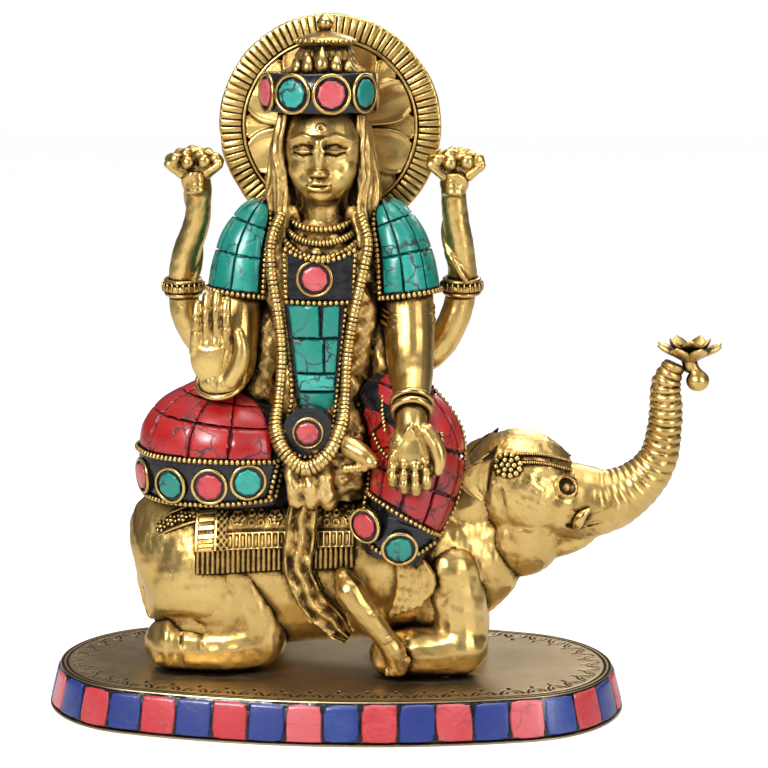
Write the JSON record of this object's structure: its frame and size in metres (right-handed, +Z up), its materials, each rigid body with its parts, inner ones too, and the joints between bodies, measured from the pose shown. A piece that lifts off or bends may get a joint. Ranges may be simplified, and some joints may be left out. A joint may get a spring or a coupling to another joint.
{
  "type": "hindu deity statue",
  "caption": "Brass statuette of a four-armed deity seated on a kneeling elephant, with a halo, stone mosaic and an oval stone-chip plinth.",
  "frame": {"origin": "centre of the whole object's footprint, on the surface it stands on, under the middle of the overall box", "axes": "+X the way the elephant faces (the object's longest side in plan), -Y the front that faces the viewer, +Z up"},
  "size_m": [0.2312, 0.1014, 0.24],
  "materials": {
    "antique_brass": "satin",
    "polished_brass": "polished",
    "black_resin": "gloss",
    "coral_red_stone": "polished",
    "lapis_blue_stone": "polished",
    "turquoise_stone": "polished",
    "steel": "satin"
  },
  "bodies": {
    "root": {"plinth": "antique_brass", "plinth_resin": "black_resin", "chips_red": "coral_red_stone", "chips_blue": "lapis_blue_stone", "plinth_screws": "steel", "elephant_body": "antique_brass", "elephant_head": "antique_brass", "elephant_trunk": "antique_brass", "trunk_lotus": "polished_brass", "elephant_ears": "antique_brass", "elephant_tusks": "polished_brass", "elephant_eyes": "antique_brass", "hind_leg_near": "antique_brass", "hind_leg_far": "antique_brass", "foreleg_near": "antique_brass", "foreleg_far": "antique_brass", "elephant_tail": "antique_brass", "crupper_band": "polished_brass", "head_ornament": "polished_brass", "saddle_cloth": "antique_brass", "saddle_fringe": "antique_brass", "torso": "antique_brass", "head": "antique_brass", "hair": "antique_brass", "crown_band": "black_resin", "crown_cap": "antique_brass", "crown_finial": "polished_brass", "halo_disc": "antique_brass", "halo_lotus": "antique_brass", "halo_bracket": "antique_brass", "halo_screws": "steel", "raised_arm_right": "antique_brass", "raised_arm_left": "antique_brass", "held_lotuses": "polished_brass", "armlets": "polished_brass", "front_arm_right": "antique_brass", "front_arm_left": "antique_brass", "bracelets": "polished_brass", "necklace": "polished_brass", "sleeve_right_resin": "black_resin", "sleeve_right_tiles": "turquoise_stone", "sleeve_left_resin": "black_resin", "sleeve_left_tiles": "turquoise_stone", "plaque_resin": "black_resin", "sash_resin": "black_resin", "sash_tiles": "turquoise_stone", "clasp_resin": "black_resin", "garland": "polished_brass", "thigh_resin": "black_resin", "thigh_tiles": "coral_red_stone", "thigh_hem": "black_resin", "shin_resin": "black_resin", "shin_tiles": "coral_red_stone", "shin_hem": "black_resin", "bezels": "polished_brass", "stones_red": "coral_red_stone", "stones_turquoise": "turquoise_stone", "bead_wires": "polished_brass", "feet": "antique_brass", "drape": "antique_brass"}
  },
  "joints": []
}
